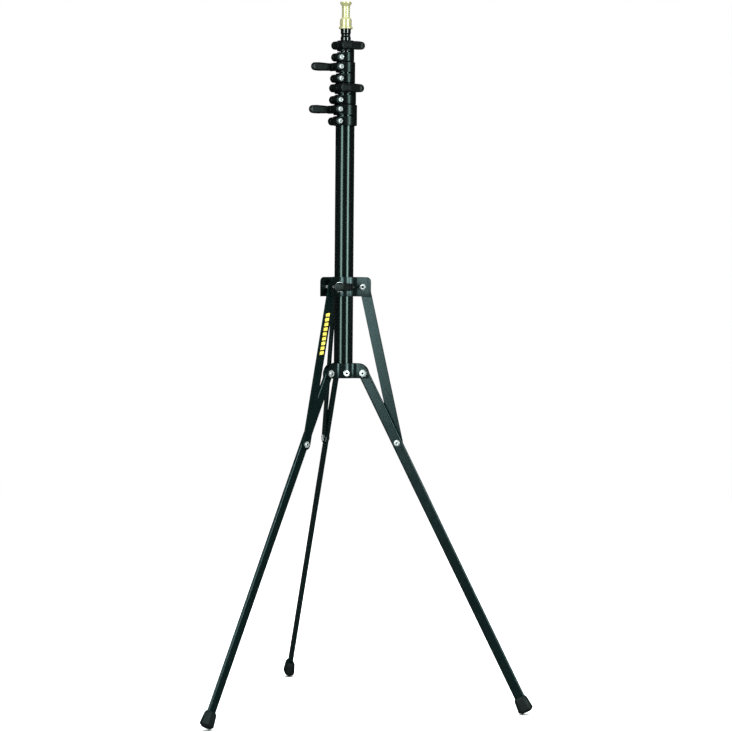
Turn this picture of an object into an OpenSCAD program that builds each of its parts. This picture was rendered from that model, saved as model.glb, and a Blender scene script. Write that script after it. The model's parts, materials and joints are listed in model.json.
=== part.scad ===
// Lighting stand: a four-riser telescopic column on a reverse-folding flat-leg tripod.
// Millimetres, +Z up. The floor is z = 0 and the column axis is the Z axis.

/* [Tripod] */
// Azimuth of the first leg, degrees from +X
leg_azimuth = -12.7; // [-60:0.1:60]
// Lean of the opened legs from the vertical, degrees
leg_lean = 26.8; // [24:0.1:30]
// Leg pivot to the underside of the rubber foot
leg_length = 512; // [460:1:560]
// Width of the flat-oval leg tube
leg_width = 14.8; // [12:0.1:16]
// Thickness of the flat-oval leg tube
leg_thickness = 4.4; // [4:0.1:4.6]
// Distance of the leg pivots from the column axis
leg_pivot_radius = 28.9; // [27:0.1:32]
// Leg pivot to the brace rivet, along the leg
mid_pivot_distance = 106; // [96:1:112]
// Brace length between its two holes
brace_length = 218.4; // [205:0.1:222]
// Width of the flat brace strap
brace_width = 14.5; // [12:0.1:15]
// Thickness of the flat brace strap
brace_thickness = 2.2; // [1.8:0.1:2.2]

/* [Collars] */
// Thickness of the pressed collar plates
plate_thickness = 2; // [1.6:0.1:2.2]
// Height of the fixed lower collar
lower_collar_height = 20.5; // [18:0.5:24]
// Height of the sliding upper collar
upper_collar_height = 26.5; // [22:0.1:26.8]
// Distance of the brace pivots from the column axis
brace_pivot_radius = 28.4; // [27:0.1:29.4]

/* [Column] */
// Outer diameter of the fixed base tube
base_diameter = 26; // [26:0.1:26.4]
// Difference in diameter between each tube and the next one inside it
tube_step = 3; // [3:0.1:3.2]
// Wall thickness of the column tubes
tube_wall = 1; // [0.8:0.1:1]
// Lower collar's underside to the first clamp's underside
column_length = 343.7; // [343:0.1:420]

/* [Clamps] */
// Height of one clamp collar
clamp_height = 28.75; // [28.5:0.05:30]
// Azimuth of the clamp ears, degrees from +X
ear_azimuth = 214; // [205:1:220]
// Lever length from its screw to its tip
lever_length = 34; // [30:1:38]

/* [Spigot] */
// Diameter of the spigot's body and head
spigot_diameter = 16; // [16:0.1:17]
// Diameter of the spigot's waist
waist_diameter = 11; // [10:0.1:12]

/* [Hidden] */
$fn = 96;
// Running clearance on a radius, and the gap kept between bodies that pass each other
running = 0.05;
gap = 0.3;
turn = 120;
legs = [0, 1, 2];

// Foot boot, along the leg from its underside
foot_length = 22;
foot_rounding = 3;
foot_half_width = 11;
// Its sections: [height above its underside, end radius, half spacing of the ends]
boot_layers = [[0, 5.4, 3], [foot_rounding, 7.5, 3.5], [19, 6.2, 3.3], [foot_length, 4.8, 3.1]];

// Pivot heights. The feet's lower edges stand on z = 0.
pivot_height = (leg_length - foot_rounding) * cos(leg_lean)
    + (foot_half_width - foot_rounding) * sin(leg_lean) + foot_rounding;
mid_radius = leg_pivot_radius + mid_pivot_distance * sin(leg_lean);
mid_height = pivot_height - mid_pivot_distance * cos(leg_lean);
brace_lean = asin((mid_radius - brace_pivot_radius) / brace_length);
slide_height = mid_height + brace_length * cos(brace_lean);

// Tangential stack at the legs: leg, washer, brace
leg_face = leg_thickness / 2;
brace_inner = leg_face + 0.7;
brace_outer = brace_inner + brace_thickness;
washer_thickness = 0.6;
washer_radius = 6;

// Rivets and bolts
rivet_radius = 2.5;
rivet_head_radius = 4.3;
rivet_head_height = 1.8;
dimple_radius = 1.6;
dimple_depth = 0.8;
upper_bolt_radius = 2;

// Lower collar
lower_bottom = pivot_height - 5.3;
lower_wall = leg_face + 0.4;
lower_reach = 36;
lower_bend = 18;
lower_rounding = 11;
band_screw_radius = 4.5;
band_screw_height = 7;

// Upper collar
upper_bottom = slide_height - 13;
far_wall = 5.4;
near_wall = brace_outer + 0.4;
far_reach = 39.5;
near_reach = 33.5;
upper_bend = 20;
upper_rounding = 6;
collar_slack = 0.35;

// Lock lever on the sliding collar
lock_azimuth = 259;
lock_boss_radius = 4.6;
lock_boss_end = 30;
lock_stud_radius = 2.5;
lock_washer_radius = 7;
lock_washer_height = 1.5;
lock_lever_length = 25;

// Column tubes, numbered from 0 (base) to 4 (top riser)
base_radius = base_diameter / 2;
tube_bottom = lower_bottom + 0.5;
bush_height = 18;
plug_height = 4;
first_clamp = lower_bottom + column_length;
clamp_pitch = clamp_height + gap;
tube_seat = 12.7;
column_top = first_clamp + 4 * clamp_pitch;
spigot_seat = column_top + 15.6;

// Clamp collars, numbered from 1 (on the base tube) to 4
clamp_wall = 4.4;
clamp_chamfer = 0.8;
ear_reach = 5.6;
ear_radius = 5.25;
upper_ear = 21.8;
lower_ear = 5.7;
split_width = 2;
slit_bottom = 12.9;
slit_height = 1.6;
ear_back = 8;
ear_front_inset = 4;
screw_radius = 2;
hub_radius = 5.2;
hub_stand = ear_front_inset + 0.6;
back_stand = 0.6;
arm_thickness = 6;
lever_tip = 4.2;
lever_shoulder = 5.2;
nut_width = 3.6;
nut_height = 3;
head_radius = 3.4;
head_height = 3;
socket_radius = 1.7;
socket_depth = 1.6;
pocket_slack = 0.4;

// Spigot heights above its seat
flange_radius = 9.5;
flange_height = 2.8;
body_height = 13;
waist_start = 15.6;
waist_end = 30.6;
head_start = 35.2;
spigot_height = 36.8;
crimp_height = 8.6;
crimp_depth = 0.8;

black = [0.04, 0.045, 0.045];
gloss_black = [0.03, 0.03, 0.03];
steel = [0.8, 0.8, 0.8];
brass = [0.75, 0.6, 0.25];
rubber = [0.05, 0.05, 0.05];
nylon = [0.12, 0.12, 0.12];

function azimuth(i) = leg_azimuth + turn * i;
function tube_radius(i) = base_radius - i * tube_step / 2;
function clamp_bottom(i) = first_clamp + (i - 1) * clamp_pitch;
function clamp_radius(i) = tube_radius(i - 1) + clamp_wall;
function screw_offset(i) = clamp_radius(i) + ear_reach - ear_radius;
function ear_face(i) = clamp_radius(i) - ear_front_inset;
// Clamps 1 and 3 carry their lever behind the ears and point it outwards.
function lever_behind(i) = i % 2 == 1;

// Solid between two offsets along +Y, from an outline drawn in the X-Z plane.
module across(from, to) {
    translate([0, to, 0])
        rotate([90, 0, 0])
            linear_extrude(height = to - from)
                children();
}

// Cylinder along +Y between two offsets.
module pin_across(radius, from, to) {
    translate([0, to, 0])
        rotate([90, 0, 0])
            cylinder(r = radius, h = to - from);
}

module stadium(length, width) {
    union() {
        square([length - width, width], center = true);
        for (side = [-1, 1])
            translate([side * (length - width) / 2, 0])
                circle(d = width);
    }
}

// Flat wall outline in the X-Z plane with a rounded upper outer corner.
module wall_outline(start, reach, height, rounding) {
    union() {
        square_from(start, 0, reach - rounding, height);
        square_from(start, 0, reach, height - rounding);
        translate([reach - rounding, height - rounding])
            circle(r = rounding);
    }
}

module square_from(x0, y0, x1, y1) {
    translate([x0, y0])
        square([x1 - x0, y1 - y0]);
}

// ---- frames ----
module in_lug(i, height) {
    rotate([0, 0, azimuth(i)])
        translate([0, 0, height])
            children();
}

module in_leg(i) {
    rotate([0, 0, azimuth(i)])
        translate([leg_pivot_radius, 0, pivot_height])
            rotate([0, -leg_lean, 0])
                children();
}

module in_brace(i) {
    rotate([0, 0, azimuth(i)])
        translate([mid_radius, 0, mid_height])
            rotate([0, -brace_lean, 0])
                children();
}

module in_clamp(i) {
    rotate([0, 0, ear_azimuth])
        translate([0, 0, clamp_bottom(i)])
            children();
}

module in_lock() {
    rotate([0, 0, lock_azimuth])
        translate([0, 0, slide_height])
            rotate([0, 90, 0])
                children();
}

// ---- collar plates ----
// One pressed plate between lug i (its near wall) and the next lug (its far wall).
module plate_band(inner, near, far, bend, height) {
    outer = inner + plate_thickness;
    linear_extrude(height = height)
        difference() {
            union() {
                intersection() {
                    circle(r = outer);
                    translate([-outer, near])
                        square([3 * outer, 2 * outer]);
                    rotate([0, 0, turn])
                        translate([-outer, -far - 2 * outer])
                            square([3 * outer, 2 * outer]);
                }
                polygon([[0, near + 0.2], [bend, near + 0.2], [bend, near + plate_thickness],
                    [outer * cos(52), outer * sin(52)]]);
                rotate([0, 0, turn])
                    polygon([[0, -far - 0.2], [bend, -far - 0.2], [bend, -far - plate_thickness],
                        [outer * cos(52), -outer * sin(52)]]);
            }
            circle(r = inner);
        }
}

module plate_walls(inner, near, far, near_end, far_end, rounding, height) {
    across(near, near + plate_thickness)
        wall_outline(inner, near_end, height, min(rounding, near_end - 22));
    rotate([0, 0, turn])
        across(-far - plate_thickness, -far)
            wall_outline(inner, far_end, height, rounding);
}

module lower_plate(i) {
    inner = base_radius;
    color(black)
        in_lug(i, lower_bottom)
            difference() {
                union() {
                    plate_band(inner, lower_wall, lower_wall, lower_bend, lower_collar_height);
                    plate_walls(inner, lower_wall, lower_wall, lower_reach, lower_reach,
                        lower_rounding, lower_collar_height);
                }
                for (side = [0, turn])
                    rotate([0, 0, side])
                        translate([leg_pivot_radius, 0, pivot_height - lower_bottom])
                            pin_across(rivet_radius + running, -20, 20);
                rotate([0, 0, turn / 2])
                    translate([inner - 1, 0, band_screw_height])
                        rotate([0, 90, 0])
                            cylinder(r = screw_radius + running, h = 6);
                translate([0, 0, -1])
                    cylinder(r = inner + running, h = lower_collar_height + 2);
            }
}

module upper_plate(i) {
    inner = base_radius + collar_slack;
    color(black)
        in_lug(i, upper_bottom)
            difference() {
                union() {
                    plate_band(inner, near_wall, far_wall, upper_bend, upper_collar_height);
                    plate_walls(inner, near_wall, far_wall, near_reach, far_reach,
                        upper_rounding, upper_collar_height);
                }
                for (side = [0, turn])
                    rotate([0, 0, side])
                        translate([brace_pivot_radius, 0, slide_height - upper_bottom])
                            pin_across(upper_bolt_radius + running, -20, 20);
                translate([0, 0, -1])
                    cylinder(r = inner, h = upper_collar_height + 2);
            }
}

// ---- column body ----
module tube(i, bottom, top) {
    radius = tube_radius(i);
    translate([0, 0, bottom])
        difference() {
            cylinder(r = radius, h = top - bottom);
            translate([0, 0, -1])
                cylinder(r = radius - tube_wall, h = top - bottom + 2);
        }
}

module base_tube() {
    color(black)
        difference() {
            tube(0, tube_bottom, first_clamp + tube_seat);
            for (i = legs)
                rotate([0, 0, azimuth(i) + turn / 2])
                    translate([base_radius - 3, 0, lower_bottom + band_screw_height])
                        rotate([0, 90, 0])
                            cylinder(r = screw_radius + running, h = 6);
        }
}

module base_plug() {
    color(nylon)
        translate([0, 0, lower_bottom - 1])
            union() {
                cylinder(r = base_radius - 0.5, h = 1.5);
                cylinder(r = base_radius - tube_wall - running, h = 1.5 + plug_height);
            }
}

module lower_collar_plate_1() {
    lower_plate(0);
}

module lower_collar_plate_2() {
    lower_plate(1);
}

module lower_collar_plate_3() {
    lower_plate(2);
}

// Pan-head screws that pin each plate's middle to the base tube.
module lower_collar_screws() {
    color(steel)
        for (i = legs)
            rotate([0, 0, azimuth(i) + turn / 2])
                translate([0, 0, lower_bottom + band_screw_height])
                    rotate([0, 90, 0])
                        difference() {
                            union() {
                                translate([0, 0, base_radius - tube_wall - 0.5])
                                    cylinder(r = screw_radius, h = plate_thickness + 3);
                                translate([0, 0, base_radius + plate_thickness + 0.1])
                                    cylinder(r = band_screw_radius, h = 1.6);
                            }
                            translate([0, 0, base_radius + plate_thickness + 1])
                                cylinder(r = dimple_radius, h = 2);
                        }
}

// Round-headed rivet across a stack, with a dimple in each head.
module rivet(radius, from, to) {
    difference() {
        union() {
            pin_across(radius, from - 0.5, to + 0.5);
            for (head = [from - rivet_head_height, to])
                pin_across(rivet_head_radius, head, head + rivet_head_height);
        }
        pin_across(dimple_radius, from - rivet_head_height - 1,
            from - rivet_head_height + dimple_depth);
        pin_across(dimple_radius, to + rivet_head_height - dimple_depth,
            to + rivet_head_height + 1);
    }
}

module leg_pivot_rivets() {
    edge = lower_wall + plate_thickness + washer_thickness + 0.1;
    color(steel)
        for (i = legs)
            in_lug(i, pivot_height)
                translate([leg_pivot_radius, 0, 0])
                    rivet(rivet_radius, -edge, edge);
}

module leg_pivot_washers() {
    edge = lower_wall + plate_thickness;
    color(steel)
        for (i = legs)
            for (from = [-edge - washer_thickness, edge])
                in_lug(i, pivot_height)
                    translate([leg_pivot_radius, 0, 0])
                        difference() {
                            pin_across(rivet_head_radius + 0.6, from, from + washer_thickness);
                            pin_across(rivet_radius + running, from - 1, from + 2);
                        }
}

// ---- sliding collar ----
module upper_collar_plate_1() {
    upper_plate(0);
}

module upper_collar_plate_2() {
    upper_plate(1);
}

// The front plate carries the threaded boss of the lock.
module upper_collar_plate_3() {
    color(black)
        difference() {
            union() {
                upper_plate(2);
                intersection() {
                    in_lock()
                        translate([0, 0, base_radius])
                            cylinder(r = lock_boss_radius, h = lock_boss_end - base_radius);
                    in_lug(2, upper_bottom)
                        translate([0, near_wall + plate_thickness / 2, 0])
                            cube([40, 40, upper_collar_height]);
                }
            }
            in_lock()
                cylinder(r = lock_stud_radius + running, h = lock_boss_end + 1);
            translate([0, 0, upper_bottom - 1])
                cylinder(r = base_radius + collar_slack, h = upper_collar_height + 2);
        }
}

// Brace pivot bolts. Each is left open across the brace, where the linkage is opened.
module upper_pivot_bolts() {
    far_face = far_wall + plate_thickness;
    near_face = near_wall + plate_thickness;
    color(steel)
        for (i = legs)
            in_lug(i, slide_height)
                translate([brace_pivot_radius, 0, 0]) {
                    difference() {
                        union() {
                            pin_across(upper_bolt_radius, -far_face - 1, brace_inner - gap);
                            pin_across(rivet_head_radius, -far_face - rivet_head_height,
                                -far_face);
                        }
                        pin_across(dimple_radius, -far_face - 3, -far_face - 1);
                    }
                    pin_across(upper_bolt_radius, brace_outer + gap, near_face + 0.2);
                }
}

module lock_washer() {
    color(steel)
        in_lock()
            translate([0, 0, lock_boss_end])
                difference() {
                    cylinder(r = lock_washer_radius, h = lock_washer_height);
                    translate([0, 0, -1])
                        cylinder(r = lock_stud_radius + running, h = 4);
                }
}

module lock_stud() {
    color(steel)
        in_lock()
            translate([0, 0, base_radius + gap])
                cylinder(r = lock_stud_radius, h = lock_boss_end + 5 - base_radius - gap);
}

// Lever outline along +X from its hub.
module lever_outline(length, hub, tip, shoulder) {
    widest = 0.62 * length;
    union() {
        circle(r = hub);
        polygon([[0, -hub + 0.6], [widest, -shoulder], [length - tip, -tip + 0.1],
            [length - tip, tip - 0.1], [widest, shoulder], [0, hub - 0.6]]);
        translate([length - tip, 0])
            circle(r = tip);
    }
}

// Lock lever: turns about the stud, arm to the right when locked.
module lock_lever() {
    foot = lock_boss_end + lock_washer_height + 0.1;
    arm = foot + 2.4;
    color(gloss_black)
        in_lock()
            difference() {
                union() {
                    translate([0, 0, foot])
                        cylinder(r = 4.7, h = 8);
                    translate([0, 0, arm])
                        linear_extrude(height = 5.6)
                            rotate([0, 0, 90])
                                lever_outline(lock_lever_length, 4.7, 3.6, 5.3);
                }
                translate([0, 0, foot - 1])
                    cylinder(r = lock_stud_radius, h = 4.4);
            }
}

// ---- legs and braces ----
module leg(i) {
    color(black)
        in_leg(i)
            difference() {
                union() {
                    translate([0, 0, 4 - leg_length])
                        linear_extrude(height = leg_length - 4)
                            stadium(leg_width, leg_thickness);
                    pin_across(leg_width / 2 - 0.2, -leg_face, leg_face);
                }
                translate([0, 0, 3 - leg_length])
                    linear_extrude(height = leg_length - 19)
                        stadium(leg_width - 2, leg_thickness - 2);
                pin_across(rivet_radius + running, -10, 10);
                translate([0, 0, -mid_pivot_distance])
                    pin_across(rivet_radius + running, -10, 10);
            }
}

module leg_1() {
    leg(0);
}

module leg_2() {
    leg(1);
}

module leg_3() {
    leg(2);
}

module foot(i) {
    color(rubber)
        in_leg(i)
            translate([0, 0, -leg_length])
                difference() {
                    hull()
                        for (layer = boot_layers)
                            for (side = [-1, 1])
                                translate([side * layer[2], 0, layer[0] - (layer[0] > 20 ? 0.02 : 0)])
                                    cylinder(r = layer[1], h = 0.02, $fn = 32);
                    translate([0, 0, 4])
                        linear_extrude(height = foot_length)
                            stadium(leg_width + 0.02, leg_thickness + 0.02);
                }
}

module foot_1() {
    foot(0);
}

module foot_2() {
    foot(1);
}

module foot_3() {
    foot(2);
}

module brace(i) {
    color(black)
        in_brace(i)
            difference() {
                across(brace_inner, brace_outer)
                    union() {
                        square_from(-brace_width / 2, 0, brace_width / 2, brace_length);
                        for (end = [0, brace_length])
                            translate([0, end])
                                circle(d = brace_width);
                    }
                for (end = [0, brace_length])
                    translate([0, 0, end])
                        pin_across((end > 0 ? upper_bolt_radius : rivet_radius) + running, 0, 10);
            }
}

module brace_1() {
    brace(0);
}

module brace_2() {
    brace(1);
}

module brace_3() {
    brace(2);
}

module mid_rivet(i) {
    color(steel)
        in_leg(i)
            translate([0, 0, -mid_pivot_distance])
                rivet(rivet_radius, -leg_face, brace_outer + 0.1);
}

module mid_rivet_1() {
    mid_rivet(0);
}

module mid_rivet_2() {
    mid_rivet(1);
}

module mid_rivet_3() {
    mid_rivet(2);
}

module mid_washer(i) {
    color(steel)
        in_leg(i)
            translate([0, 0, -mid_pivot_distance])
                difference() {
                    pin_across(washer_radius, leg_face, leg_face + washer_thickness);
                    pin_across(rivet_radius + running, leg_face - 1, leg_face + 2);
                }
}

module mid_washer_1() {
    mid_washer(0);
}

module mid_washer_2() {
    mid_washer(1);
}

module mid_washer_3() {
    mid_washer(2);
}

// ---- clamp collars ----
module ear(i, height) {
    across(-ear_back, ear_face(i))
        union() {
            square_from(tube_radius(i - 1) - 1, height - ear_radius, screw_offset(i),
                height + ear_radius);
            translate([screw_offset(i), height])
                circle(r = ear_radius);
        }
}

module clamp(i) {
    outer = clamp_radius(i);
    lower = tube_radius(i - 1) + running;
    upper = tube_radius(i) + running;
    seat = slit_bottom + slit_height / 2;
    color(gloss_black)
        in_clamp(i)
            difference() {
                union() {
                    rotate_extrude()
                        polygon([[upper - 1, 0], [outer - clamp_chamfer, 0],
                            [outer, clamp_chamfer], [outer, clamp_height - clamp_chamfer],
                            [outer - clamp_chamfer, clamp_height], [upper - 1, clamp_height]]);
                    for (height = [lower_ear, upper_ear])
                        ear(i, height);
                }
                translate([0, 0, -1])
                    cylinder(r = lower, h = seat + 1);
                translate([0, 0, seat - 1])
                    cylinder(r = upper, h = clamp_height);
                translate([0, -split_width / 2, -1])
                    cube([2 * outer, split_width, clamp_height + 2]);
                translate([-0.35 * outer, -2 * outer, slit_bottom])
                    cube([4 * outer, 4 * outer, slit_height]);
                for (height = [lower_ear, upper_ear])
                    translate([screw_offset(i), 0, height]) {
                        pin_across(screw_radius + running, -30, 30);
                        pin_across(nut_width + pocket_slack, -30, -ear_back);
                    }
                translate([screw_offset(i), 0, upper_ear])
                    if (lever_behind(i))
                        pin_across(hub_radius + gap, -30, -ear_back);
                    else
                        pin_across(hub_radius + gap, ear_face(i), 30);
            }
}

module clamp_1() {
    clamp(1);
}

module clamp_2() {
    clamp(2);
}

module clamp_3() {
    clamp(3);
}

module clamp_4() {
    clamp(4);
}

// Socket-head bolt along +Y, its head standing on a face.
module socket_bolt(end, face) {
    difference() {
        union() {
            pin_across(screw_radius, end, face + 1);
            pin_across(head_radius, face, face + head_height);
        }
        translate([0, face + head_height + 1, 0])
            rotate([90, 0, 0])
                cylinder(r = socket_radius, h = socket_depth + 1, $fn = 6);
    }
}

// Bolt through the lower ears.
module pinch_bolt(i) {
    color(gloss_black)
        in_clamp(i)
            translate([screw_offset(i), 0, lower_ear])
                socket_bolt(-ear_back - nut_height - 0.5, ear_face(i));
}

module pinch_bolt_1() {
    pinch_bolt(1);
}

module pinch_bolt_2() {
    pinch_bolt(2);
}

module pinch_bolt_3() {
    pinch_bolt(3);
}

module pinch_bolt_4() {
    pinch_bolt(4);
}

// Hex nuts behind the ears of one clamp. A lever behind the upper ear takes its nut's place.
module clamp_nuts(i) {
    color(gloss_black)
        in_clamp(i)
            for (height = lever_behind(i) ? [lower_ear] : [lower_ear, upper_ear])
                translate([screw_offset(i), -ear_back, height])
                    rotate([90, 0, 0])
                        difference() {
                            cylinder(r = nut_width, h = nut_height, $fn = 6);
                            translate([0, 0, -1])
                                cylinder(r = screw_radius + running, h = nut_height + 2);
                        }
}

module clamp_nuts_1() {
    clamp_nuts(1);
}

module clamp_nuts_2() {
    clamp_nuts(2);
}

module clamp_nuts_3() {
    clamp_nuts(3);
}

module clamp_nuts_4() {
    clamp_nuts(4);
}

// Screw through the upper ears, fixed in its lever.
module clamp_screw(i) {
    color(steel)
        in_clamp(i)
            translate([screw_offset(i), 0, upper_ear])
                if (lever_behind(i))
                    socket_bolt(-ear_back - back_stand - arm_thickness / 2, ear_face(i));
                else
                    pin_across(screw_radius, -ear_back - nut_height - 0.5,
                        ear_face(i) + hub_stand + arm_thickness / 2);
}

module clamp_screw_1() {
    clamp_screw(1);
}

module clamp_screw_2() {
    clamp_screw(2);
}

module clamp_screw_3() {
    clamp_screw(3);
}

module clamp_screw_4() {
    clamp_screw(4);
}

// Levers sit on alternate faces of the ears and point to alternate sides up the column.
module clamp_lever(i) {
    face = lever_behind(i) ? -ear_back : ear_face(i);
    side = lever_behind(i) ? -1 : 1;
    stand = lever_behind(i) ? back_stand : hub_stand;
    arm_start = face + side * stand;
    arm_end = arm_start + side * arm_thickness;
    socket_end = arm_start + side * arm_thickness / 2;
    color(gloss_black)
        in_clamp(i)
            translate([screw_offset(i), 0, upper_ear])
                difference() {
                    union() {
                        pin_across(hub_radius, min(face + side * gap, arm_end),
                            max(face + side * gap, arm_end));
                        rotate([0, side > 0 ? 180 : 0, 0])
                            across(min(arm_start, arm_end), max(arm_start, arm_end))
                                lever_outline(lever_length, hub_radius, lever_tip, lever_shoulder);
                    }
                    pin_across(screw_radius, min(0, socket_end), max(0, socket_end));
                }
}

module clamp_lever_1() {
    clamp_lever(1);
}

module clamp_lever_2() {
    clamp_lever(2);
}

module clamp_lever_3() {
    clamp_lever(3);
}

module clamp_lever_4() {
    clamp_lever(4);
}

// ---- risers ----
function riser_bottom(i) = tube_bottom + 14 + 2 * i;

module riser_1() {
    color(black)
        tube(1, riser_bottom(1), clamp_bottom(2) + tube_seat);
}

module riser_2() {
    color(black)
        tube(2, riser_bottom(2), clamp_bottom(3) + tube_seat);
}

module riser_3() {
    color(black)
        tube(3, riser_bottom(3), clamp_bottom(4) + tube_seat);
}

// The top riser ends under the spigot's flange and is crimped onto its shank.
module riser_4() {
    radius = tube_radius(4);
    waist = radius - crimp_depth;
    low = spigot_seat - crimp_height - 2;
    high = spigot_seat - crimp_height + 2;
    color(black)
        rotate_extrude()
            polygon([[radius - tube_wall, riser_bottom(4)], [radius, riser_bottom(4)],
                [radius, low], [waist, low + 1.6], [waist, high - 1.6], [radius, high],
                [radius, spigot_seat], [radius - tube_wall, spigot_seat],
                [radius - tube_wall, high], [waist - tube_wall, high - 1.6],
                [waist - tube_wall, low + 1.6], [radius - tube_wall, low]]);
}

// Guide bush on the foot of each riser, sliding in the tube outside it.
module riser_bush(i) {
    color(nylon)
        translate([0, 0, riser_bottom(i)])
            difference() {
                cylinder(r = tube_radius(i - 1) - tube_wall - running, h = bush_height);
                translate([0, 0, -1])
                    cylinder(r = tube_radius(i), h = bush_height + 2);
            }
}

module riser_bush_1() {
    riser_bush(1);
}

module riser_bush_2() {
    riser_bush(2);
}

module riser_bush_3() {
    riser_bush(3);
}

module riser_bush_4() {
    riser_bush(4);
}

module spigot() {
    body = spigot_diameter / 2;
    waist = waist_diameter / 2;
    shank = tube_radius(4) - tube_wall - crimp_depth - 0.1;
    color(brass)
        translate([0, 0, spigot_seat])
            rotate_extrude()
                polygon([[0, -20], [shank, -20], [shank, 0], [flange_radius, 0],
                    [flange_radius, flange_height], [body, flange_height],
                    [body, body_height], [waist, waist_start], [waist, waist_end],
                    [body, head_start], [body, spigot_height - 0.5],
                    [body - 0.5, spigot_height], [0, spigot_height]]);
}

base_tube();
base_plug();
lower_collar_plate_1();
lower_collar_plate_2();
lower_collar_plate_3();
lower_collar_screws();
leg_pivot_rivets();
leg_pivot_washers();
upper_collar_plate_1();
upper_collar_plate_2();
upper_collar_plate_3();
upper_pivot_bolts();
lock_washer();
lock_stud();
lock_lever();
leg_1();
leg_2();
leg_3();
foot_1();
foot_2();
foot_3();
brace_1();
brace_2();
brace_3();
mid_rivet_1();
mid_rivet_2();
mid_rivet_3();
mid_washer_1();
mid_washer_2();
mid_washer_3();
clamp_1();
clamp_2();
clamp_3();
clamp_4();
pinch_bolt_1();
pinch_bolt_2();
pinch_bolt_3();
pinch_bolt_4();
clamp_nuts_1();
clamp_nuts_2();
clamp_nuts_3();
clamp_nuts_4();
clamp_screw_1();
clamp_screw_2();
clamp_screw_3();
clamp_screw_4();
clamp_lever_1();
clamp_lever_2();
clamp_lever_3();
clamp_lever_4();
riser_1();
riser_2();
riser_3();
riser_4();
riser_bush_1();
riser_bush_2();
riser_bush_3();
riser_bush_4();
spigot();
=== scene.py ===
"""Looks of the folding light stand: detailed pieces, materials, studio and camera."""
import json
import math

import bmesh
import bpy
from mathutils import Matrix, Vector


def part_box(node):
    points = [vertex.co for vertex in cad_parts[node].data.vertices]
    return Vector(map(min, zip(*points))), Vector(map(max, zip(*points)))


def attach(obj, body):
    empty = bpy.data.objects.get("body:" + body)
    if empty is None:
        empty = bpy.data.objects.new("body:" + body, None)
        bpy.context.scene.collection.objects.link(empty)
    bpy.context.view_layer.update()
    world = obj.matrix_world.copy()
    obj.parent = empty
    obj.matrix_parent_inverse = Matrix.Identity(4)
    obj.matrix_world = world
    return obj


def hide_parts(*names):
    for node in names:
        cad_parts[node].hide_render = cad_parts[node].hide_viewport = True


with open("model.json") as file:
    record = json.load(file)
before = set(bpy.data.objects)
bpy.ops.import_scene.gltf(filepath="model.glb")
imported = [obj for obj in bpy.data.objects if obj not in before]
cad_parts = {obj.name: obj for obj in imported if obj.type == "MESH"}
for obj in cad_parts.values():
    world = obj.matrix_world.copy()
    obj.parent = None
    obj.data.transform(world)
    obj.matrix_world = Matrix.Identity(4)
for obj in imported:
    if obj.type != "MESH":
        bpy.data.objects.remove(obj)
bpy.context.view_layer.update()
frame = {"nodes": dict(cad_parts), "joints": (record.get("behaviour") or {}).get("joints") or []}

MM = 0.001
TURN = math.radians(120)
UP = Vector((0, 0, 1))
LEGS = (1, 2, 3)
CLAMPS = (1, 2, 3, 4)
JOINTS = {joint["name"]: joint for joint in frame["joints"]}


# ---------------------------------------------------------------- frames
def joint_point(name):
    return Vector(JOINTS[name]["pos_m"])


def joint_axis(name):
    return Vector(JOINTS[name]["axis"])


def axes(origin, x_axis, y_axis, z_axis):
    """Matrix of a local frame with its origin in metres."""
    turned = Matrix((x_axis, y_axis, z_axis)).transposed().to_4x4()
    turned.translation = origin
    return turned


def lug_frame(i, height=0.0):
    """X radial and Y tangential at leg i, on the column axis at a height in metres."""
    tangent = -joint_axis(f"leg_{i}_fold")
    radial = tangent.cross(UP)
    return axes(Vector((0, 0, height)), radial, tangent, UP)


def along_frame(origin, tangent, direction):
    """Z along a direction, Y tangential."""
    return axes(origin, tangent.cross(direction), tangent, direction)


def outward_frame(azimuth, origin):
    """Z radially outward at an azimuth in radians."""
    radial = Vector((math.cos(azimuth), math.sin(azimuth), 0))
    return axes(origin, -UP, UP.cross(radial), radial)


# ---------------------------------------------------------------- mesh tools
def rounded(points, radius, steps=4, closed=False):
    """2-D polyline with an arc at each inner corner."""
    result = []
    count = len(points)
    for k, point in enumerate(points):
        point = Vector(point)
        size = radius[k] if isinstance(radius, (list, tuple)) else radius
        if size <= 0 or (not closed and k in (0, count - 1)):
            result.append(point)
            continue
        back = Vector(points[k - 1]) - point
        ahead = Vector(points[(k + 1) % count]) - point
        half = back.angle(ahead) / 2
        if half > math.radians(86):
            result.append(point)
            continue
        reach = min(size / math.tan(half), 0.46 * back.length, 0.46 * ahead.length)
        start = point + back.normalized() * reach
        end = point + ahead.normalized() * reach
        for step in range(steps + 1):
            t = step / steps
            result.append((1 - t) ** 2 * start + 2 * t * (1 - t) * point + t * t * end)
    return result


def inset(points, amount):
    """Closed counterclockwise 2-D outline moved inwards."""
    moved = []
    count = len(points)
    for k, point in enumerate(points):
        before = (point - points[k - 1]).normalized()
        after = (points[(k + 1) % count] - point).normalized()
        normal = Vector((-before.y - after.y, before.x + after.x))
        normal.normalize()
        spread = max(0.5, normal.dot(Vector((-after.y, after.x))))
        moved.append(point + normal * amount / spread)
    return moved


def stadium(half_length, half_width, steps=12):
    """Counterclockwise outline with round ends, long along the first axis."""
    straight = half_length - half_width
    points = []
    for side in (1, -1):
        for step in range(steps + 1):
            angle = math.pi * (step / steps - 0.5) + (0 if side > 0 else math.pi)
            points.append(Vector((side * straight + half_width * math.cos(angle),
                                  half_width * math.sin(angle))))
    return points


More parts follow.
